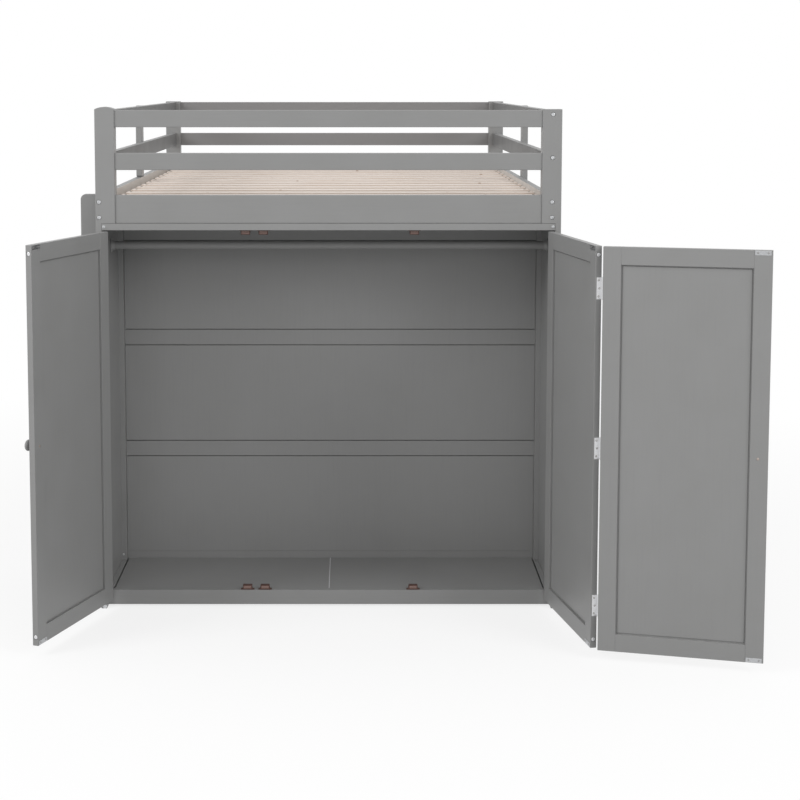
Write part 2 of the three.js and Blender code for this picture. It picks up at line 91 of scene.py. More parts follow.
def satin_lacquered_wood(name, run, turn=0.0):
    """Grey satin lacquer sprayed on planed wood: an even mid grey with a soft sheen. Up close the grain
    shows through as faint ridges along the board, under a fine orange peel from the spray gun. run is
    the axis that the grain follows, and turn the angle about Z that a door stands at."""
    material, tree, shader, place = new_material(name)
    straight = add_node(tree, "ShaderNodeMapping", {"Vector": place, "Rotation": (0, 0, -turn)})
    # Grain ridges are coarser than pine's own 2 mm, so that they show from a step away
    ridge_pitch = 0.005
    ridge_length_share = 30
    across = 1 / ridge_pitch
    stretch = [across / ridge_length_share if axis == run else across for axis in "XYZ"]
    drawn_out = add_node(tree, "ShaderNodeMapping", {"Vector": straight, "Scale": stretch})
    grain = add_node(tree, "ShaderNodeTexNoise", {"Vector": drawn_out, "Scale": 1, "Detail": 3})
    dimple_width = 0.002
    dimples = {"Vector": place, "Scale": 1 / dimple_width, "Detail": 1}
    peel = add_node(tree, "ShaderNodeTexNoise", dimples)
    ridge_depth = {"Height": grain, "Strength": 0.35, "Distance": 0.0003}
    ridges = add_node(tree, "ShaderNodeBump", ridge_depth)
    peel_depth = {"Height": peel, "Strength": 0.2, "Distance": 0.0001, "Normal": ridges}
    relief = add_node(tree, "ShaderNodeBump", peel_depth)
    # Film thickness drifts over a hand's width, and the grain's hollows hold a little more paint
    hand_width = 0.12
    film = {"Vector": place, "Scale": 1 / hand_width, "Detail": 2}
    drift = add_node(tree, "ShaderNodeTexNoise", film)
    greys = {"Factor": drift, "A": linear("#919190"), "B": linear("#979797")}
    drifted = add_node(tree, "ShaderNodeMix", greys, data_type="RGBA")
    fill = {"Value": grain, "From Min": 0.25, "From Max": 0.5, "To Min": 0.06, "To Max": 0}
    hollows = add_node(tree, "ShaderNodeMapRange", fill)
    layers = {"Factor": hollows, "A": drifted, "B": linear("#747474")}
    painted = add_node(tree, "ShaderNodeMix", layers, data_type="RGBA")
    gloss = {"Value": drift, "From Min": 0.3, "From Max": 0.7, "To Min": 0.4, "To Max": 0.48}
    sheen = add_node(tree, "ShaderNodeMapRange", gloss)
    set_inputs(tree, shader, {"Base Color": painted, "Roughness": sheen, "Normal": relief})
    return material


def add_board(build, outline, y_low, y_high, arris, material=0):
    """Adds a board whose outline is drawn in X and Z, from y_low to y_high, with its arrises rounded."""
    front = [build.verts.new((x, y_low, z)) for x, z in outline]
    back = [build.verts.new((x, y_high, z)) for x, z in outline]
    faces = [build.faces.new(front), build.faces.new(back)]
    for i in range(len(outline)):
        j = (i + 1) % len(outline)
        faces.append(build.faces.new((front[i], front[j], back[j], back[i])))
    bmesh.ops.recalc_face_normals(build, faces=faces)
    for face in faces:
        face.material_index = material
    least_corner = math.radians(30)
    edges = {edge for face in faces for edge in face.edges}
    corners = [edge for edge in edges if edge.calc_face_angle() > least_corner]
    eased = bmesh.ops.bevel(
        build, geom=corners, offset=arris, segments=3, profile=0.5, affect="EDGES"
    )
    for face in eased["faces"]:
        face.smooth = True
        face.material_index = material


def bore(build, places, diameter, depth):
    """Counterbores a board at each place, which is a point on its face and the way that face looks."""
    cutters = bmesh.new()
    for point, facing in places:
        turn = Vector(facing).to_track_quat("Z", "Y").to_matrix().to_4x4()
        bmesh.ops.create_cone(
            cutters,
            cap_ends=True,
            segments=24,
            radius1=diameter / 2,
            radius2=diameter / 2,
            depth=2 * depth,
            matrix=Matrix.Translation(point) @ turn,
        )
    made = []
    for name, source in (("board", build), ("cutters", cutters)):
        mesh = bpy.data.meshes.new(name)
        source.to_mesh(mesh)
        made.append(bpy.data.objects.new(name, mesh))
        bpy.context.scene.collection.objects.link(made[-1])
    cutters.free()
    modifier = made[0].modifiers.new("bores", "BOOLEAN")
    modifier.operation = "DIFFERENCE"
    modifier.solver = "EXACT"
    modifier.object = made[1]
    graph = bpy.context.evaluated_depsgraph_get()
    cut = bpy.data.meshes.new_from_object(made[0].evaluated_get(graph))
    build.clear()
    build.from_mesh(cut)
    bpy.data.meshes.remove(cut)
    for helper in made:
        mesh = helper.data
        bpy.data.objects.remove(helper)
        bpy.data.meshes.remove(mesh)


def finish_piece(name, build, materials, body, matrix=None):
    """Makes the built mesh an object at the origin, moved into place by matrix, that rides on a body."""
    mesh = bpy.data.meshes.new(name)
    build.to_mesh(mesh)
    build.free()
    if matrix:
        mesh.transform(matrix)
    for material in materials:
        mesh.materials.append(material)
    piece = bpy.data.objects.new(name, mesh)
    bpy.context.scene.collection.objects.link(piece)
    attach(piece, body)
    return piece


post_lacquer = satin_lacquered_wood("satin lacquered wood, upright grain", "Z")
outer_x = 0.715
front_y = -0.2
rear_y = 1.855
post_top = 1.564
post_width = 0.06
post_depth = 0.045
post_arris = 0.0016
strip_top = 1.214
strip_width = 0.018
crown_rise = 0.007
crown_steps = 12

# Bolts in the front faces, as X and Z from the photograph, and the same at the head end
bolt_bore = 0.015
bolt_depth = 0.0022
rail_bolts = {
    ("front", "left"): [(-0.7045, 1.280), (-0.7045, 1.232)],
    ("front", "right"): [(0.687, 1.548), (0.687, 1.416), (0.687, 1.280), (0.687, 1.232)],
    ("rear", "left"): [(-0.7045, 1.280), (-0.7045, 1.232), (-0.6827, 1.535), (-0.6827, 1.404)],
    ("rear", "right"): [(0.6827, 1.535), (0.6827, 1.404), (0.6827, 1.280), (0.6827, 1.232)],
}
side_bolt_inset = 0.015
guard_bolt_heights = [1.535, 1.404]
rail_bolt_heights = [1.280, 1.235]
stretcher_bolt_heights = [0.365, 0.322]
post_bolts = []
for (end, side), bolts in rail_bolts.items():
    sign = -1 if side == "left" else 1
    face_y = front_y if end == "front" else rear_y
    outward = -1 if end == "front" else 1
    places = [(Vector((x, face_y, z)), Vector((0, outward, 0))) for x, z in bolts]
    side_y = face_y - outward * side_bolt_inset
    side_heights = guard_bolt_heights + rail_bolt_heights
    if end == "rear":
        side_heights = side_heights + stretcher_bolt_heights
    places += [(Vector((sign * outer_x, side_y, z)), Vector((sign, 0, 0))) for z in side_heights]
    post_bolts += places

    inner = sign * (outer_x - post_width)
    strip = sign * (outer_x - strip_width)
    outer = sign * outer_x
    if end == "front":
        outline = [(outer, 0), (strip, 0), (strip, strip_top), (inner, strip_top), (inner, post_top)]
    else:
        outline = [(outer, 0), (inner, 0), (inner, post_top)]
    if (end, side) == ("front", "left"):
        # The crowned head is an arc over the post's width
        half_width = post_width / 2
        radius = (half_width**2 + crown_rise**2) / (2 * crown_rise)
        for step in range(1, crown_steps):
            aside = post_width * step / crown_steps - half_width
            rise = math.sqrt(radius**2 - aside**2) - (radius - crown_rise)
            outline.append(((inner + outer) / 2 - aside, post_top + rise))
    outline.append((outer, post_top))
    build = bmesh.new()
    y_ends = sorted((face_y, face_y - outward * post_depth))
    add_board(build, outline, *y_ends, post_arris)
    bore(build, places, bolt_bore, bolt_depth)
    post = finish_piece(f"{side}_{end}_post_wood", build, [post_lacquer], "bed_frame")
    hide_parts(f"{end}_{side}_post")


# Rails and guards: planed softwood boards 22 mm thick with rounded edges, bolted between the posts,
# in the same lacquer. The grain runs along each board, and the insides have painted light and shade of
# their own.
def paint(material, *names):
    """Gives CAD nodes a material in place of their plain one."""
    for name in names:
        nodes[name].material_slots[0].material = material


def paint_light_and_shade_inside(material, inner, tint, axis="X", sheen=0.5):
    """Paints light and shade onto a board's inside: a tint and a sheen of its own, which stand in for
    how light falls there. The inside is whatever lies less than inner from the middle along the axis."""
    tree = material.node_tree
    shader = tree.nodes["Principled BSDF"]
    painted = shader.inputs["Base Color"].links[0].from_socket
    place = add_node(tree, "ShaderNodeTexCoord").outputs["Object"]
    along = add_node(tree, "ShaderNodeSeparateXYZ", {0: place}).outputs[axis]
    away = add_node(tree, "ShaderNodeMath", {0: along}, operation="ABSOLUTE")
    skin = 0.0006
    inside = add_node(tree, "ShaderNodeMath", {0: away, 1: inner + skin}, operation="LESS_THAN")
    layers = {"Factor": inside, "A": painted, "B": linear(tint)}
    inside_light_and_shade = add_node(tree, "ShaderNodeMix", layers, data_type="RGBA")
    inside_reflection_level = add_node(tree, "ShaderNodeMapRange", {"Value": inside, "To Min": 0.5, "To Max": sheen})
    set_inputs(tree, shader, {"Base Color": inside_light_and_shade, "Specular IOR Level": inside_reflection_level})


across_lacquer = satin_lacquered_wood("satin lacquered wood, grain across the bed", "X")
along_lacquer = satin_lacquered_wood("satin lacquered wood, grain along the bed", "Y")
paint(across_lacquer, "front_top_guard", "front_lower_guard", "front_bed_rail")
paint(across_lacquer, "rear_bed_rail", "rear_stretcher")
paint(post_lacquer, "left_guard_support", "right_guard_support")

# Painted light: the bed rails are painted pale inside, for the light that the slats throw back onto them
right_inner_x = 0.6717
for side, inner_x in (("left", 0.693), ("right", right_inner_x)):
    bounce_lit_lacquer = satin_lacquered_wood(f"satin lacquered wood, {side} bed rail", "Y")
    paint_light_and_shade_inside(bounce_lit_lacquer, inner_x, "#cac4be")
    paint(bounce_lit_lacquer, f"{side}_bed_rail")

# Painted shade: the guards are painted darker inside, with less sheen, for the shade that falls there
rear_inner_y = 1.829
guard_lacquer_shaded_inside = satin_lacquered_wood("satin lacquered wood, long guards, painted shade inside", "Y")
paint_light_and_shade_inside(guard_lacquer_shaded_inside, right_inner_x, "#787878", sheen=0.06)
rear_lacquer_shaded_inside = satin_lacquered_wood("satin lacquered wood, rear guards, painted shade inside", "X")
paint_light_and_shade_inside(rear_lacquer_shaded_inside, rear_inner_y, "#8c8b8b", axis="Y", sheen=0.3)
for height in ("top", "lower"):
    paint(guard_lacquer_shaded_inside, f"left_{height}_guard", f"right_{height}_guard")
    paint(rear_lacquer_shaded_inside, f"rear_{height}_guard")


# Slats: fourteen boards of bare planed pine, 72 by 18 mm, left unpainted. They are laid across the
# berth on the ledgers and screwed down at both ends.
def planed_pine(name, first_y, pitch, middle_z):
    """Bare planed pine: pale and pinkish, matt, with darker late-wood lines, fine streaks along the
    fibres and a brown knot now and then. One slat in a row has its own piece of the log."""
    material, tree, shader, place = new_material(name)
    axes = add_node(tree, "ShaderNodeSeparateXYZ", {0: place}).outputs
    # Which slat a point is on, and its distance from the middle of that slat
    from_first = add_node(tree, "ShaderNodeMath", {0: axes["Y"], 1: first_y}, operation="SUBTRACT")
    pitches = add_node(tree, "ShaderNodeMath", {0: from_first, 1: pitch}, operation="DIVIDE")
    row = add_node(tree, "ShaderNodeMath", {0: pitches}, operation="ROUND")
    middle = add_node(tree, "ShaderNodeMath", {0: row, 1: pitch}, operation="MULTIPLY")
    aside = add_node(tree, "ShaderNodeMath", {0: from_first, 1: middle}, operation="SUBTRACT")
    chance = add_node(tree, "ShaderNodeTexWhiteNoise", {"W": row}, noise_dimensions="1D")
    own = add_node(tree, "ShaderNodeSeparateColor", {0: chance.outputs["Color"]}).outputs
    # The pith of the log lies 25 to 95 mm under the slat and up to 35 mm aside, and wanders by 5 mm
    pith_spread = 0.07
    least_pith_depth = 0.025
    wander_reach = 0.02
    wander_place = add_node(
        tree, "ShaderNodeMapping", {"Vector": place, "Scale": (2.2, 7.2, 0), "Location": (3, 1, 0)}
    )
    wander = add_node(tree, "ShaderNodeTexNoise", {"Vector": wander_place, "Scale": 1, "Detail": 2})
    sideways = {0: own[0], 1: pith_spread, 2: -pith_spread / 2}
    pith_aside = add_node(tree, "ShaderNodeMath", sideways, operation="MULTIPLY_ADD")
    downward = {0: own[1], 1: pith_spread, 2: least_pith_depth - middle_z}
    pith_below = add_node(tree, "ShaderNodeMath", downward, operation="MULTIPLY_ADD")
    to_pith = add_node(tree, "ShaderNodeMath", {0: aside, 1: pith_aside}, operation="SUBTRACT")
    wandering = {0: wander, 1: wander_reach, 2: to_pith}
    off = add_node(tree, "ShaderNodeMath", wandering, operation="MULTIPLY_ADD")
    up = add_node(tree, "ShaderNodeMath", {0: axes["Z"], 1: pith_below}, operation="ADD")
    from_pith = add_node(tree, "ShaderNodeCombineXYZ", {0: 0, 1: off, 2: up})
    distance = add_node(tree, "ShaderNodeVectorMath", {0: from_pith}, operation="LENGTH")
    # Growth rings: early wood darkens slowly into a thin late-wood line
    ring_width = 0.004
    years = add_node(tree, "ShaderNodeMath", {0: distance, 1: ring_width}, operation="DIVIDE")
    ring = add_node(tree, "ShaderNodeMath", {0: years}, operation="FRACT")
    ringed = add_node(tree, "ShaderNodeValToRGB", {"Fac": ring})
    stops = ringed.color_ramp.elements
    stops[0].color = linear("#faf1ea")
    stops[1].position = 0.55
    stops[1].color = linear("#f5eae2")
    for position, tint in ((0.84, "#e6d6c9"), (1.0, "#f4e9e0")):
        stops.new(position).color = linear(tint)
    # Fibres 1.5 mm apart, in streaks a hand long
    fibre_place = add_node(tree, "ShaderNodeMapping", {"Vector": place, "Scale": (12, 650, 650)})
    fibre = add_node(tree, "ShaderNodeTexNoise", {"Vector": fibre_place, "Scale": 1, "Detail": 2})
    darkening = {"Value": fibre, "From Min": 0.3, "From Max": 0.75, "To Min": 0, "To Max": 0.16}
    streak = add_node(tree, "ShaderNodeMapRange", darkening)
    streaks = {"Factor": streak, "A": ringed, "B": linear("#d9c4b3")}
    streaked = add_node(tree, "ShaderNodeMix", streaks, data_type="RGBA")
    # Knots up to 14 mm across, two or three to a slat
    knot_place = add_node(tree, "ShaderNodeMapping", {"Vector": place, "Scale": (4.2, 6, 0)})
    cells = add_node(
        tree, "ShaderNodeTexVoronoi", {"Vector": knot_place, "Scale": 1}, voronoi_dimensions="2D"
    )
    rim = {"Value": cells, "From Min": 0.018, "From Max": 0.03, "To Min": 0.85, "To Max": 0}
    knot = add_node(tree, "ShaderNodeMapRange", rim)
    knots = {"Factor": knot, "A": streaked, "B": linear("#9a6f4d")}
    knotted = add_node(tree, "ShaderNodeMix", knots, data_type="RGBA")
    # Painted shade: faces that look sideways, the slats' edges, are painted browner than the tops, for
    # the shade on them
    looks = add_node(tree, "ShaderNodeNewGeometry").outputs["Normal"]
    upward = add_node(tree, "ShaderNodeSeparateXYZ", {0: looks}).outputs["Z"]
    level = add_node(tree, "ShaderNodeMath", {0: upward}, operation="ABSOLUTE")
    edge_shading = {"Value": level, "From Min": 0.4, "From Max": 0.8, "To Min": 0.42, "To Max": 0}
    edge_shade = add_node(tree, "ShaderNodeMapRange", edge_shading)
    edges = {"Factor": edge_shade, "A": knotted, "B": linear("#c2a68f")}
    edge_shaded_pine = add_node(tree, "ShaderNodeMix", edges, data_type="RGBA")
    fibre_depth = {"Height": fibre, "Strength": 0.4, "Distance": 0.0003}
    relief = add_node(tree, "ShaderNodeBump", fibre_depth)
    set_inputs(tree, shader, {"Base Color": edge_shaded_pine, "Roughness": 0.68, "Normal": relief})
    return material


slat_count = 14
slat_low, slat_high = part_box("slat_01")
last_low, last_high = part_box("slat_14")
first_slat_y = (slat_low.y + slat_high.y) / 2
slat_pitch = ((last_low.y + last_high.y) / 2 - first_slat_y) / (slat_count - 1)
pine = planed_pine("planed bare pine", first_slat_y, slat_pitch, (slat_low.z + slat_high.z) / 2)
for number in range(1, slat_count + 1):
    paint(pine, f"slat_{number:02d}")


# Fastenings: zinc-plated steel bolts with a hexagon socket, and cross-head screws. Each lies in its
# bore or on its board, turned to wherever it happened to be tight.
def bright_zinc(name, low, high):
    """Bright zinc plate on steel: a cool, pale metal whose soft sheen varies a little from place to
    place, as the plating bath leaves it. low and high are the tints that the plate drifts between."""
    material, tree, shader, place = new_material(name)
    spangle_width = 0.004
    spangles = {"Vector": place, "Scale": 1 / spangle_width, "Detail": 3}
    spangle = add_node(tree, "ShaderNodeTexNoise", spangles)
    tints = {"Factor": spangle, "A": linear(low), "B": linear(high)}
    tint = add_node(tree, "ShaderNodeMix", tints, data_type="RGBA")
    gloss = {"Value": spangle, "From Min": 0.3, "From Max": 0.7, "To Min": 0.3, "To Max": 0.46}
    sheen = add_node(tree, "ShaderNodeMapRange", gloss)
    depth = {"Height": spangle, "Strength": 0.25, "Distance": 0.0002}
    relief = add_node(tree, "ShaderNodeBump", depth)
    set_inputs(tree, shader, {"Base Color": tint, "Roughness": sheen, "Normal": relief, "Metallic": 1})
    return material


def passivated_steel(name, low, high):
    """Steel with a passivated plate, dimmer than bright zinc and even to the touch. low and high are
    the tints that the plate drifts between."""
    material, tree, shader, place = new_material(name)
    patch_width = 0.002
    patches = {"Vector": place, "Scale": 1 / patch_width, "Detail": 2}
    patch = add_node(tree, "ShaderNodeTexNoise", patches)
    tints = {"Factor": patch, "A": linear(low), "B": linear(high)}
    tint = add_node(tree, "ShaderNodeMix", tints, data_type="RGBA")
    gloss = {"Value": patch, "From Min": 0.3, "From Max": 0.7, "To Min": 0.38, "To Max": 0.5}
    sheen = add_node(tree, "ShaderNodeMapRange", gloss)
    set_inputs(tree, shader, {"Base Color": tint, "Roughness": sheen, "Metallic": 1})
    return material


def fastener_head(name, recess, rise, sink):
    """A round head 1 across, with its seat at the origin and looking to Z. recess gives the driver
    recess's radius at an angle, rise the head's height, and sink how deep the recess goes."""
    build = bmesh.new()
    segments = 24
    angles = [math.tau * i / segments for i in range(segments)]
    # Radius and height of the seat, flank, shoulder and crown, and of the recess's lip, edge and floor
    rings = [
        [(0.5, 0.0)] * segments,
        [(0.5, 0.55 * rise)] * segments,
        [(0.465, 0.86 * rise)] * segments,
        [(0.41, rise)] * segments,
        [(recess(a) + 0.02, rise) for a in angles],
        [(recess(a), rise - 0.03) for a in angles],
        [(0.9 * recess(a), rise - sink) for a in angles],
    ]
    loops = []
    for ring in rings:
        points = [(r * math.cos(a), r * math.sin(a), z) for a, (r, z) in zip(angles, ring)]
        loops.append([build.verts.new(point) for point in points])
    for lower, upper in zip(loops, loops[1:]):
        for i in range(segments):
            j = (i + 1) % segments
            build.faces.new((lower[i], lower[j], upper[j], upper[i]))
    build.faces.new(loops[0][::-1])
    build.faces.new(loops[-1])
    mesh = bpy.data.meshes.new(name)
    build.to_mesh(mesh)
    build.free()
    mesh.shade_smooth()
    mesh.set_sharp_from_angle(angle=math.radians(35))
    return bpy.data.objects.new(name, mesh)


def hexagon_recess(angle):
    """A hexagon 0.4 across its flats."""
    return 0.2 / math.cos((angle % (math.pi / 3)) - math.pi / 6)


def cross_recess(angle):
    """A cross of four arms, 0.3 long and 0.17 wide."""
    lean = angle % (math.pi / 2)
    lean = min(lean, math.pi / 2 - lean)
    return 0.3 if lean < 0.2 else max(0.09, 0.085 / math.sin(lean))


def build_fastener_tree():
    """Geometry Nodes that set a head on every point, looking along the point's own facing."""
    tree = bpy.data.node_groups.new("fasteners on points", "GeometryNodeTree")
    wanted = [
        ("Geometry", "NodeSocketGeometry"),
        ("Head", "NodeSocketObject"),
        ("Diameter", "NodeSocketFloat"),
        ("Seed", "NodeSocketInt"),
        ("Finish", "NodeSocketMaterial"),
    ]
    sockets = {}
    for name, kind in wanted:
        made = tree.interface.new_socket(name=name, in_out="INPUT", socket_type=kind)
        sockets[name] = made.identifier
    tree.interface.new_socket(name="Geometry", in_out="OUTPUT", socket_type="NodeSocketGeometry")
    given = add_node(tree, "NodeGroupInput").outputs
    points = add_node(tree, "GeometryNodeMeshToPoints", {"Mesh": given["Geometry"]})
    head = add_node(tree, "GeometryNodeObjectInfo", {"Object": given["Head"]})
    facing = add_node(
        tree, "GeometryNodeInputNamedAttribute", {"Name": "facing"}, data_type="FLOAT_VECTOR"
    )
    aimed = add_node(tree, "FunctionNodeAlignRotationToVector", {"Vector": facing}, axis="Z")
    chance = add_node(tree, "FunctionNodeRandomValue", {"Seed": given["Seed"]}, data_type="FLOAT")
    angle = add_node(tree, "ShaderNodeMath", {0: chance, 1: math.tau}, operation="MULTIPLY")
    spin = add_node(tree, "FunctionNodeAxisAngleToRotation", {"Axis": (0, 0, 1), "Angle": angle})
    turning = {"Rotation": aimed, "Rotate By": spin}
    turned = add_node(tree, "FunctionNodeRotateRotation", turning, rotation_space="LOCAL")
    placing = {"Points": points, "Instance": head.outputs["Geometry"], "Rotation": turned}
    placing["Scale"] = given["Diameter"]
    set_out = add_node(tree, "GeometryNodeInstanceOnPoints", placing)
    real = add_node(tree, "GeometryNodeRealizeInstances", {"Geometry": set_out})
    finish = {"Geometry": real, "Material": given["Finish"]}
    add_node(tree, "NodeGroupOutput", {0: add_node(tree, "GeometryNodeSetMaterial", finish)})
    return tree, sockets


def fasten(name, head, diameter, places, body, finish, seed):
    """Sets a head at each place, a point and its facing, and makes them one plain mesh on a body."""
    mesh = bpy.data.meshes.new(name + "_points")
    mesh.from_pydata([point for point, facing in places], [], [])
    attribute = mesh.attributes.new("facing", "FLOAT_VECTOR", "POINT")
    attribute.data.foreach_set("vector", [c for point, facing in places for c in facing])
    source = bpy.data.objects.new(name + "_points", mesh)
    bpy.context.scene.collection.objects.link(source)
    modifier = source.modifiers.new("fasteners", "NODES")
    modifier.node_group = fastener_tree
    values = {"Head": head, "Diameter": diameter, "Seed": seed, "Finish": finish}
    for label, value in values.items():
        modifier[fastener_sockets[label]] = value
    graph = bpy.context.evaluated_depsgraph_get()
    plain = bpy.data.meshes.new_from_object(source.evaluated_get(graph))
    plain.name = name
    bpy.data.objects.remove(source)
    bpy.data.meshes.remove(mesh)
    piece = bpy.data.objects.new(name, plain)
    bpy.context.scene.collection.objects.link(piece)
    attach(piece, body)


zinc = bright_zinc("bright zinc plate on steel", "#b4b6b8", "#dcdddf")
# Painted highlight: a lighter copy of the zinc, for the bright glints on hinges, door bolts and a
# stile's foot screw
highlit_zinc = bright_zinc("fresh zinc plate on hinges and door bolts", "#cfd0d2", "#efeff0")
dull_zinc = bright_zinc("dull zinc plate on strike plates", "#a4a6a8", "#c9cacc")
passivated = passivated_steel("olive passivated steel", "#5d574b", "#7d7566")
yellow_passivated = passivated_steel("yellow passivated steel", "#a89d96", "#bfb4ac")
grey_passivated = passivated_steel("grey passivated steel", "#8f8d8b", "#aaa8a6")
brown_steel = passivated_steel("brown pole plates", "#98827a", "#ae9890")
fastener_tree, fastener_sockets = build_fastener_tree()
socket_bolt = fastener_head("socket_bolt_head", hexagon_recess, 0.15, 0.12)
cross_screw = fastener_head("cross_screw_head", cross_recess, 0.16, 0.13)

bolt_head = 0.012
sunk_bolts = [(point - facing * bolt_depth, facing) for point, facing in post_bolts]
fasten("post_bolts", socket_bolt, bolt_head, sunk_bolts, "bed_frame", zinc, seed=3)

# Each slat is screwed down at both ends
slat_screw_head = 0.008
slat_screw_inset = 0.014
slat_screw_sink = 0.0004
slat_screws = []
for number in range(1, slat_count + 1):
    low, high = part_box(f"slat_{number:02d}")
    for x in (low.x + slat_screw_inset, high.x - slat_screw_inset):
        point = Vector((x, (low.y + high.y) / 2, high.z - slat_screw_sink))
        slat_screws.append((point, Vector((0, 0, 1))))
fasten("slat_screws", cross_screw, slat_screw_head, slat_screws, "bed_frame", passivated, seed=5)

# The uprights halfway along are bolted through each guard, and the right one to its bed rail too
sides = (("left", -1), ("right", 1))
upright_rail_heights = [1.27, 1.24]
upright_bolts = []
for side, sign in sides:
    low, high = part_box(f"{side}_guard_support")
    for z in guard_bolt_heights + (upright_rail_heights if side == "right" else []):
        point = Vector((sign * outer_x, (low.y + high.y) / 2, z))
        upright_bolts.append((point, Vector((sign, 0, 0))))
fasten("upright_bolts", socket_bolt, bolt_head, upright_bolts, "bed_frame", zinc, seed=7)


# Wardrobe: lacquered panelwork under the foot end. The top board is bolted to the posts' strips, and
# a hanging rod sits in two flanged cups.
def add_box(build, x_ends, y_ends, z_ends, arris, material=0):
    """Adds a board that is a plain box, with each pair of ends in either order."""
    (x_low, x_high), (z_low, z_high) = sorted(x_ends), sorted(z_ends)
    outline = [(x_low, z_low), (x_high, z_low), (x_high, z_high), (x_low, z_high)]
    add_board(build, outline, *sorted(y_ends), arris, material)


paint(across_lacquer, "wardrobe_top", "wardrobe_plinth", "hanging_rod")
paint(post_lacquer, "left_wardrobe_side", "right_wardrobe_side", "wardrobe_back")
paint(along_lacquer, "floor_bearer")

# The back's bays are filled flush with its rails, and shadow gaps show where they meet
back_x = (-0.6803, 0.6803)
back_y = (0.1822, 0.1948)
back_arris = 0.0003
shadow_gap = 0.0025
foot_gap = 0.0003
back_bays = [(0.077, 0.40375, foot_gap), (0.45375, 0.7786, shadow_gap), (0.8286, 1.127, shadow_gap)]
build = bmesh.new()
for z_low, z_high, gap_below in back_bays:
    add_box(build, back_x, back_y, (z_low + gap_below, z_high - shadow_gap), back_arris)
finish_piece("wardrobe_back_panels", build, [post_lacquer], "bed_frame")

# Each side is lined with a smooth thin sheet, which has a glossier coat than the rest
lining_x = (0.6968, 0.69695)
lining_z = (0.0545, 1.1925)
lining_arris = 0.00002
bay_y = (-0.1543, 0.1597)
lining_lacquer = satin_lacquered_wood("hard gloss lacquer on the sides' lining", "Z")
lining_tree = lining_lacquer.node_tree
hard_gloss = {"Coat Weight": 0.4, "Coat Roughness": 0.07}
set_inputs(lining_tree, lining_tree.nodes["Principled BSDF"], hard_gloss)
for side, sign in sides:
    build = bmesh.new()
    add_box(build, [sign * x for x in lining_x], bay_y, lining_z, lining_arris)
    finish_piece(f"{side}_side_lining", build, [lining_lacquer], "bed_frame")

to_front = Vector((0, -1, 0))
top_bolt_x = 0.6905
top_bolt_z = 1.2035
top_bolt_head = 0.009
top_bolts = [(Vector((x, front_y, top_bolt_z)), to_front) for x in (-top_bolt_x, top_bolt_x)]
fasten("top_board_bolts", socket_bolt, top_bolt_head, top_bolts, "bed_frame", zinc, seed=9)

# The floor boards end at the rear stiles' inner edges, on a cleat. A shadow gap parts each from a
# ledge along the side, and in the middle they meet on a strip painted pale as a highlight
floor_arris = 0.0006
board_box = ((0.0013, 0.6758), (-0.1617, 0.1817), (0.036, 0.054))
ledge_box = ((0.6808, 0.6967), bay_y, (0.0359, 0.0539))
cleat_box = ((0.655, 0.6967), (-0.125, 0.1595), (0.018, 0.0357))
for side, sign in sides:
    build = bmesh.new()
    x_ends, y_ends, z_ends = board_box
    add_box(build, [sign * x for x in x_ends], y_ends, z_ends, floor_arris)
    board = finish_piece(
        f"{side}_floor_board_wood", build, [across_lacquer], "bed_frame"
    )
    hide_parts(f"{side}_floor_board")
    build = bmesh.new()
    for x_ends, y_ends, z_ends in (ledge_box, cleat_box):
        add_box(build, [sign * x for x in x_ends], y_ends, z_ends, floor_arris)
    finish_piece(f"{side}_floor_ledge", build, [along_lacquer], "bed_frame")
edging_reach = 0.01
edging_arris = 0.0002
edging_box = ((-0.0012, 0.0012), (-0.1615, 0.1815), (0.0362, 0.0539))
# Painted highlight: the whole strip is painted pale, for the boards' meeting edges catching the light
seam_highlight_lacquer = satin_lacquered_wood("painted highlight on the strip between the floor boards", "Y")
paint_light_and_shade_inside(seam_highlight_lacquer, edging_reach, "#e0e0e3")
build = bmesh.new()
add_box(build, *edging_box, edging_arris)
finish_piece("floor_seam_strip", build, [seam_highlight_lacquer], "bed_frame")

# A screw holds the left side's rear stile by its foot
foot_screw_head = 0.0075
foot_screw = [(Vector((-0.692, 0.1599, 0.0716)), to_front)]
fasten("stile_foot_screw", cross_screw, foot_screw_head, foot_screw, "bed_frame", highlit_zinc, seed=8)

# A glide is nailed under the left post's strip, and its plate laps the front
glide = [(Vector((-0.7035, front_y, 0.0066)), to_front)]
fasten("left_glide_nail", socket_bolt, bolt_head, glide, "bed_frame", zinc, seed=10)


def add_turning(build, profile):
    """Turns a profile of (radius, distance) round the Y axis, towards -Y. A closed one ends where it
    began."""
    segments = 40
    loops = []
    for radius, distance in profile:
        if radius == 0:
            loops.append([build.verts.new((0, -distance, 0))])
            continue
        angles = [math.tau * i / segments for i in range(segments)]
        points = [(radius * math.cos(a), -distance, radius * math.sin(a)) for a in angles]
        loops.append([build.verts.new(point) for point in points])
    faces = []
    for lower, upper in zip(loops, loops[1:]):
        for i in range(segments):
            j = (i + 1) % segments
            corners = [lower[i % len(lower)], lower[j % len(lower)]]
            corners += [upper[j % len(upper)], upper[i % len(upper)]]
            corners = list(dict.fromkeys(corners))
            faces.append(build.faces.new(corners))
    if profile[0] == profile[-1]:
        bmesh.ops.remove_doubles(build, verts=loops[0] + loops[-1], dist=0.000001)
        faces = [face for face in faces if face.is_valid]
    bmesh.ops.recalc_face_normals(build, faces=faces)
    for face in faces:
        face.smooth = True


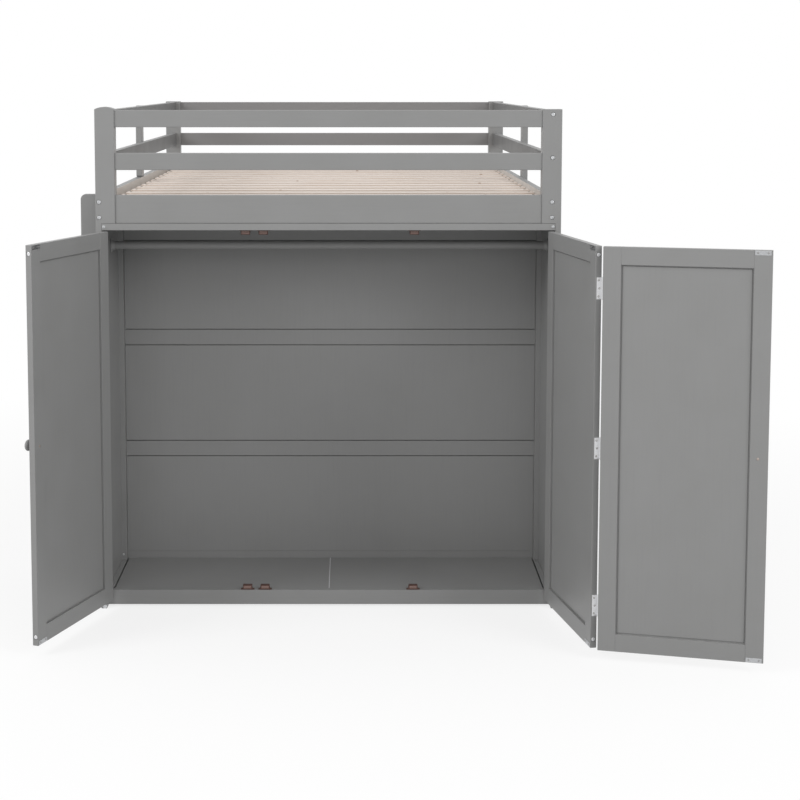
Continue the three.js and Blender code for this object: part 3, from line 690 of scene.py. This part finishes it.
# Rod cups: lacquered flanges that hold the rod's ends, each screwed to the side's top rail
cup_profile = [(0.0133, 0.0003), (0.0225, 0.0003), (0.0235, 0.0011), (0.0228, 0.0021)]
cup_profile += [(0.0172, 0.0024), (0.0158, 0.0036), (0.0154, 0.0120), (0.0146, 0.0126)]
cup_profile += [(0.0136, 0.0122), (0.0133, 0.0114), (0.0133, 0.0003)]
wall_x = 0.6967
rod_z = 1.128
cup_screw_head = 0.0045
cup_screw_rise = 0.0019
cup_screw_radius = 0.0197
cup_screws = []
for side, sign in sides:
    build = bmesh.new()
    add_turning(build, cup_profile)
    wall = sign * wall_x
    matrix = Matrix.Translation((wall, 0, rod_z)) @ Matrix.Rotation(-sign * math.pi / 2, 4, "Z")
    finish_piece(f"{side}_rod_cup", build, [across_lacquer], "bed_frame", matrix)
    for turn in (math.radians(90), math.radians(210), math.radians(330)):
        y, rise = cup_screw_radius * math.cos(turn), cup_screw_radius * math.sin(turn)
        point = Vector((wall - sign * cup_screw_rise, y, rod_z + rise))
        cup_screws.append((point, Vector((-sign, 0, 0))))
fasten("rod_cup_screws", cross_screw, cup_screw_head, cup_screws, "bed_frame", zinc, seed=12)


# Magnetic catches: brown plastic cases, 31 mm wide, screwed to the floor's front edge and under the
# top board where a door's free corner comes, with two steel pole plates at the face.
def moulded_brown_plastic(name):
    """Injection-moulded ABS in dark brown: an even colour with a low, slightly mottled sheen from the
    spark-eroded mould."""
    material, tree, shader, place = new_material(name)
    mould_grain = 0.0004
    mottle_width = 0.006
    grains = {"Vector": place, "Scale": 1 / mould_grain, "Detail": 1}
    mould = add_node(tree, "ShaderNodeTexNoise", grains)
    relief = add_node(tree, "ShaderNodeBump", {"Height": mould, "Strength": 0.3, "Distance": 0.00005})
    mottles = {"Vector": place, "Scale": 1 / mottle_width, "Detail": 2}
    mottle = add_node(tree, "ShaderNodeTexNoise", mottles)
    browns = {"Factor": mottle, "A": linear("#4b3029"), "B": linear("#5a3c33")}
    tint = add_node(tree, "ShaderNodeMix", browns, data_type="RGBA")
    set_inputs(tree, shader, {"Base Color": tint, "Roughness": 0.42, "Normal": relief})
    return material


def off_seat(seat, up, near, far):
    """Two distances off the board that a catch sits on, as low and high Z."""
    return sorted((seat + up * near, seat + up * far))


brown_plastic = moulded_brown_plastic("brown moulded plastic")
catch_front = -0.1793
catch_middles = (-0.2565, -0.2015, 0.2650)
catch_seats = ((0.054, 1), (1.193, -1))
seat_gap = 0.0001
ear_half_width = 0.021
ear_thickness = 0.003
ear_y = (catch_front + 0.001, catch_front + 0.014)
ear_arris = 0.0008
case_half_foot = 0.0155
case_half_top = 0.014
case_height = 0.0155
case_depth = 0.015
case_arris = 0.0012
plate_half_width = 0.0115
plate_rises = (0.0058, 0.0098)
plate_thickness = 0.0014
plate_y = (catch_front - 0.0006, catch_front + 0.004)
plate_arris = 0.0002
catch_screw_head = 0.0046
catch_screw_aside = 0.0182
catch_screw_back = 0.0075
catch_screw_rise = 0.0028
catch_screws = []
build = bmesh.new()
for middle in catch_middles:
    for seat, up in catch_seats:
        # The base has an ear with a screw on each side, and the tapered case stands on it
        ear_x = (middle - ear_half_width, middle + ear_half_width)
        add_box(build, ear_x, ear_y, off_seat(seat, up, seat_gap, ear_thickness), ear_arris)
        low, high = off_seat(seat, up, seat_gap, case_height)
        half_low, half_high = (case_half_foot, case_half_top)[::up]
        case = [(middle - half_low, low), (middle + half_low, low)]
        case += [(middle + half_high, high), (middle - half_high, high)]
        add_board(build, case, catch_front, catch_front + case_depth, case_arris)
        for rise in plate_rises:
            plate_x = (middle - plate_half_width, middle + plate_half_width)
            plate_z = off_seat(seat, up, rise, rise + plate_thickness)
            add_box(build, plate_x, plate_y, plate_z, plate_arris, material=1)
        for x in (middle - catch_screw_aside, middle + catch_screw_aside):
            point = Vector((x, catch_front + catch_screw_back, seat + up * catch_screw_rise))
            catch_screws.append((point, Vector((0, 0, up))))
finish_piece("magnetic_catches", build, [brown_plastic, brown_steel], "bed_frame")
fasten("catch_screws", cross_screw, catch_screw_head, catch_screws, "bed_frame", passivated, seed=15)


# Doors: three alike, 18 mm thick, each a frame of two stiles and two rails glued round a thin panel
# whose rebated edge leaves a dark line. A bolt goes through each stile into the end of each rail.
def rest_matrix(*joint_names):
    """Where a door's own frame stands at rest, from the joints that it hangs by."""
    chain = [j for name in joint_names for j in frame["joints"] if j["name"] == name]
    angle = sum(-j["range_deg"][0] * j["axis"][2] for j in chain)
    x, y, z = chain[-1]["pos_m"]
    return Matrix.Translation((x, y, 0)) @ Matrix.Rotation(math.radians(angle), 4, "Z")


def span(toward, near, far):
    """Two distances from a door's hinge edge as low and high X. toward is the way that it reaches."""
    return sorted((toward * (door_gap / 2 + near), toward * (door_gap / 2 + far)))


opening_half_width = 0.697
door_gap = 0.003
door_width = (2 * opening_half_width - 4 * door_gap) / 3
door_low = 0.031
door_high = 1.190
face_near = 0.0034
face_far = 0.0214
stile_width = 0.05
stile_arris = 0.001
rail_arris = 0.0005
tongue = 0.006
tongue_thickness = 0.002
tongue_arris = 0.0002
groove = 0.004
panel_thickness = 0.006
panel_arris = 0.001
door_bolt_bore = 0.0135
door_bolt_head = 0.0115
doors = {
    "left_door": (1, "left_door_body", rest_matrix("left_door_hinge")),
    "inner_fold_door": (-1, "inner_door_body", rest_matrix("right_door_hinge")),
    "outer_fold_door": (-1, "outer_door_body", rest_matrix("right_door_hinge", "fold_hinge")),
}
for door, (toward, body, matrix) in doors.items():
    middle_y = (face_near + face_far) / 2
    build = bmesh.new()
    edge_bolts = []
    for near in (0, door_width - stile_width):
        stile = bmesh.new()
        x_ends = span(toward, near, near + stile_width)
        add_box(stile, x_ends, (face_near, face_far), (door_low, door_high), stile_arris)
        edge = toward * (door_gap / 2 + (door_width if near else 0))
        facing = Vector((toward if near else -toward, 0, 0))
        heights = (door_low + stile_width / 2, door_high - stile_width / 2)
        places = [(Vector((edge, middle_y, z)), facing) for z in heights]
        bore(stile, places, door_bolt_bore, bolt_depth)
        edge_bolts += [(point - facing * bolt_depth, facing) for point, facing in places]
        bored = bpy.data.meshes.new("stile")
        stile.to_mesh(bored)
        stile.free()
        build.from_mesh(bored)
        bpy.data.meshes.remove(bored)
    x_low, x_high = span(toward, stile_width, door_width - stile_width)
    for z_low in (door_low, door_high - stile_width):
        z_ends = (z_low, z_low + stile_width)
        add_box(build, (x_low, x_high), (face_near, face_far), z_ends, rail_arris, material=1)
    # The panel's tongue is held in the frame, and a groove is left beside its field
    z_low = door_low + stile_width
    z_high = door_high - stile_width
    for reach, thickness, arris in (
        (tongue, tongue_thickness, tongue_arris),
        (-groove, panel_thickness, panel_arris),
    ):
        y_ends = (middle_y - thickness / 2, middle_y + thickness / 2)
        z_ends = (z_low - reach, z_high + reach)
        add_box(build, (x_low - reach, x_high + reach), y_ends, z_ends, arris)
    angle = matrix.to_euler().z
    rail_lacquer = satin_lacquered_wood(f"satin lacquered wood, {door} rails", "X", angle)
    leaf = finish_piece(
        f"{door}_leaf", build, [post_lacquer, rail_lacquer], body, matrix
    )
    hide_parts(door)
    turned = matrix.to_3x3()
    bolts = [(matrix @ point, turned @ facing) for point, facing in edge_bolts]
    fasten(f"{door}_edge_bolts", socket_bolt, door_bolt_head, bolts, body, highlit_zinc, seed=11)


# Knobs: turned beech bulbs, 33 mm across, on short necks and in the same lacquer. Each is held by one
# screw from inside the door.
knob_profile = [(0, 0), (0.0095, 0), (0.0095, 0.0018), (0.0088, 0.0026), (0.0072, 0.0034)]
knob_profile += [(0.0066, 0.0050), (0.0064, 0.0080), (0.0068, 0.0106)]
bulb_radius = 0.0165
bulb_start = 0.011
bulb_length = 0.015
bulb_steps = 16
bulb_fullness = 0.7
for step in range(1, bulb_steps):
    angle = math.pi * step / bulb_steps
    along = bulb_start + bulb_length * (1 - math.cos(angle)) / 2
    knob_profile.append((bulb_radius * math.sin(angle) ** bulb_fullness, along))
knob_profile.append((0, bulb_start + bulb_length))
knob_inset = 0.028
knob_x = door_gap / 2 + door_width - knob_inset
knob_z = (door_low + door_high) / 2
knob_screw_head = 0.0075
for knob, door in (("left_door_knob", "left_door"), ("fold_door_knob", "outer_fold_door")):
    toward, body, matrix = doors[door]
    build = bmesh.new()
    add_turning(build, knob_profile)
    local = Matrix.Translation((toward * knob_x, face_near, knob_z))
    piece = finish_piece(
        f"{knob}_turning", build, [post_lacquer], body, matrix @ local
    )
    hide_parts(knob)
    behind = Vector((toward * knob_x, face_far, knob_z))
    screw = [(matrix @ behind, matrix.to_3x3() @ Vector((0, 1, 0)))]
    fasten(f"{knob}_screw", cross_screw, knob_screw_head, screw, body, yellow_passivated, seed=13)


# Strike plates: zinc-plated steel, 44 by 13 mm, screwed flat inside each door's free corners where
# the magnets of the catches meet them.
strike_length = 0.044
strike_height = 0.013
strike_thickness = 0.0008
strike_arris = 0.0003
strike_edge_inset = 0.0045
strike_end_inset = 0.001
strike_screw_head = 0.0055
strike_screw_inset = 0.008
strike_screw_rise = 0.0006
for door, (toward, body, matrix) in doors.items():
    build = bmesh.new()
    screws = []
    far = door_gap / 2 + door_width - strike_edge_inset
    x_ends = sorted((toward * (far - strike_length), toward * far))
    y_ends = (face_far, face_far + strike_thickness)
    top_low = door_high - strike_end_inset - strike_height
    for z_low in (door_low + strike_end_inset, top_low):
        add_box(build, x_ends, y_ends, (z_low, z_low + strike_height), strike_arris)
        for x in (x_ends[0] + strike_screw_inset, x_ends[1] - strike_screw_inset):
            point = Vector((x, face_far + strike_screw_rise, z_low + strike_height / 2))
            screws.append((matrix @ point, matrix.to_3x3() @ Vector((0, 1, 0))))
    finish_piece(f"{door}_strike_plates", build, [dull_zinc], body, matrix)
    name = f"{door}_strike_screws"
    fasten(name, cross_screw, strike_screw_head, screws, body, grey_passivated, seed=17)


# Hinges: steel butts, zinc plated, three to a line with a riveted pin. The leaves lie on the end
# faces, each held by three countersunk screws.
hinge_x = 0.6955
hinge_y = -0.2034
hinge_centres = {"top": 1.070, "middle": 0.613, "bottom": 0.156}
leaf_screw_head = 0.0062
leaf_screw_seat = 0.00114
leaf_screw_places = ((-0.0225, 0.0125), (0, 0.0105), (0.0225, 0.0125))
hinge_lines = {
    "left": ("bed_frame", Matrix.Translation((-hinge_x, hinge_y, 0)), "left_door"),
    "right": ("bed_frame", Matrix.Translation((hinge_x, hinge_y, 0)), "inner_fold_door"),
    "fold": (
        "inner_door_body",
        doors["inner_fold_door"][2] @ Matrix.Translation((-(door_width + door_gap), 0, 0)),
        "outer_fold_door",
    ),
}
for line, (carrier, carrier_matrix, door) in hinge_lines.items():
    toward, body, matrix = doors[door]
    for leaf, rides_on in (("fixed", carrier), ("door", body)):
        for level in ("top", "bottom"):
            paint(highlit_zinc, f"{line}_{level}_hinge_{leaf}_leaf")
        build = bmesh.new()
        build.from_mesh(nodes[f"{line}_top_hinge_{leaf}_leaf"].data)
        bmesh.ops.remove_doubles(build, verts=build.verts, dist=0.00001)
        down = Matrix.Translation((0, 0, hinge_centres["middle"] - hinge_centres["top"]))
        finish_piece(
            f"{line}_middle_hinge_{leaf}_leaf", build, [highlit_zinc], rides_on, down
        )
        own_matrix = carrier_matrix if leaf == "fixed" else matrix
        sign = -toward if leaf == "fixed" else toward
        screws = []
        for centre in hinge_centres.values():
            for rise, y in leaf_screw_places:
                point = own_matrix @ Vector((sign * leaf_screw_seat, y, centre + rise))
                screws.append((point, own_matrix.to_3x3() @ Vector((-sign, 0, 0))))
        name = f"{line}_{leaf}_leaf_screws"
        fasten(name, cross_screw, leaf_screw_head, screws, rides_on, passivated, seed=19)


# Ladder: two softwood stiles with rounded heads, in the same lacquer, and four treads housed in them
# and screwed in from the stiles' outer faces.
paint(post_lacquer, "ladder")
bed_rail_top = 1.301
tread_count = 4
tread_half_thickness = 0.011
stile_faces = ((-0.15, -1), (0.25, 1))
tread_screw_head = 0.009
tread_screw_x = (-0.756, -0.728)
tread_screws = []
for tread in range(1, tread_count + 1):
    z = bed_rail_top * tread / (tread_count + 1) - tread_half_thickness
    for y, facing in stile_faces:
        for x in tread_screw_x:
            tread_screws.append((Vector((x, y, z)), Vector((0, facing, 0))))
fasten("ladder_tread_screws", cross_screw, tread_screw_head, tread_screws, "bed_frame", zinc, seed=23)


# Studio: a pale floor that keeps the bunk's shadow and fades to the white background, a soft lamp on
# each side in front, and the camera where the photograph was taken from.
def pale_floor(name):
    """Matt white studio floor, a touch darker where the bunk shades it, and plain white from 3 m out."""
    material, tree, shader, place = new_material(name)
    under_bunk = (0, 0.6, 0)
    middle = add_node(tree, "ShaderNodeVectorMath", {0: place, 1: under_bunk}, operation="DISTANCE")
    fade = {"Value": middle, "From Min": 1.2, "From Max": 3.2, "To Min": 0.78}
    far = add_node(tree, "ShaderNodeMapRange", fade)
    path = add_node(tree, "ShaderNodeLightPath").outputs
    rays = {0: path["Is Camera Ray"], 1: path["Is Glossy Ray"]}
    seen = add_node(tree, "ShaderNodeMath", rays, operation="ADD", use_clamp=True)
    share = add_node(tree, "ShaderNodeMath", {0: far, 1: seen}, operation="MULTIPLY")
    # It is white to the camera, but throws back less light, as a grey floor would
    tones = {"Factor": seen, "A": linear("#b4b4b4"), "B": linear("#fbfbfb")}
    tone = add_node(tree, "ShaderNodeMix", tones, data_type="RGBA")
    set_inputs(tree, shader, {"Base Color": tone, "Roughness": 0.9, "Specular IOR Level": 0})
    white = add_node(tree, "ShaderNodeEmission", {"Color": (1, 1, 1, 1), "Strength": 1})
    mixed = add_node(tree, "ShaderNodeMixShader", {0: share, 1: shader, 2: white})
    set_inputs(tree, tree.nodes["Material Output"], {"Surface": mixed})
    return material


build = bmesh.new()
bmesh.ops.create_circle(build, cap_ends=True, segments=96, radius=14)
floor_mesh = bpy.data.meshes.new("studio_floor")
build.to_mesh(floor_mesh)
build.free()
floor_mesh.materials.append(pale_floor("matt white studio floor"))
floor = bpy.data.objects.new("studio_floor", floor_mesh)
bpy.context.scene.collection.objects.link(floor)

# The background is plain white where it is seen, and lights the bunk with less than that
ambient_level = 0.73
world = bpy.data.worlds.new("studio")
world.use_nodes = True
bpy.context.scene.world = world
tree = world.node_tree
path = add_node(tree, "ShaderNodeLightPath").outputs
seen = path["Is Camera Ray"]
for ray in ("Is Glossy Ray", "Is Transmission Ray"):
    seen = add_node(tree, "ShaderNodeMath", {0: seen, 1: path[ray]}, operation="MAXIMUM")
level = add_node(tree, "ShaderNodeMapRange", {"Value": seen, "To Min": ambient_level})
set_inputs(tree, tree.nodes["Background"], {"Strength": level, "Color": (1, 1, 1, 1)})

lamp_size = 1.8
lamp_aim = Vector((0, 0.2, 0.9))
for name, place, power in (
    ("left_softbox", (-4.2, -2.6, 3.4), 90),
    ("right_softbox", (3.6, -3.2, 3.0), 60),
):
    data = bpy.data.lights.new(name, "AREA")
    data.shape = "SQUARE"
    data.size = lamp_size
    data.energy = power
    lamp = bpy.data.objects.new(name, data)
    lamp.location = place
    lamp.rotation_euler = (lamp_aim - Vector(place)).to_track_quat("-Z", "Y").to_euler()
    bpy.context.scene.collection.objects.link(lamp)

# The photograph's verticals are parallel, from a level camera whose picture was shifted down. Nearly
# half of that is done here by shift and the rest by tilt, so that other views keep the bunk in frame.
camera_tilt = math.radians(90 - 5.639)
camera_data = bpy.data.cameras.new("camera")
camera_data.sensor_width = 36
camera_data.lens = 75.91
camera_data.shift_x = 0.0618
camera_data.shift_y = -0.19
camera = bpy.data.objects.new("camera", camera_data)
camera.location = (0.068, -5.3645, 1.6484)
camera.rotation_euler = (camera_tilt, 0, 0)
bpy.context.scene.collection.objects.link(camera)
bpy.context.scene.camera = camera
bpy.context.scene.view_settings.view_transform = "Standard"
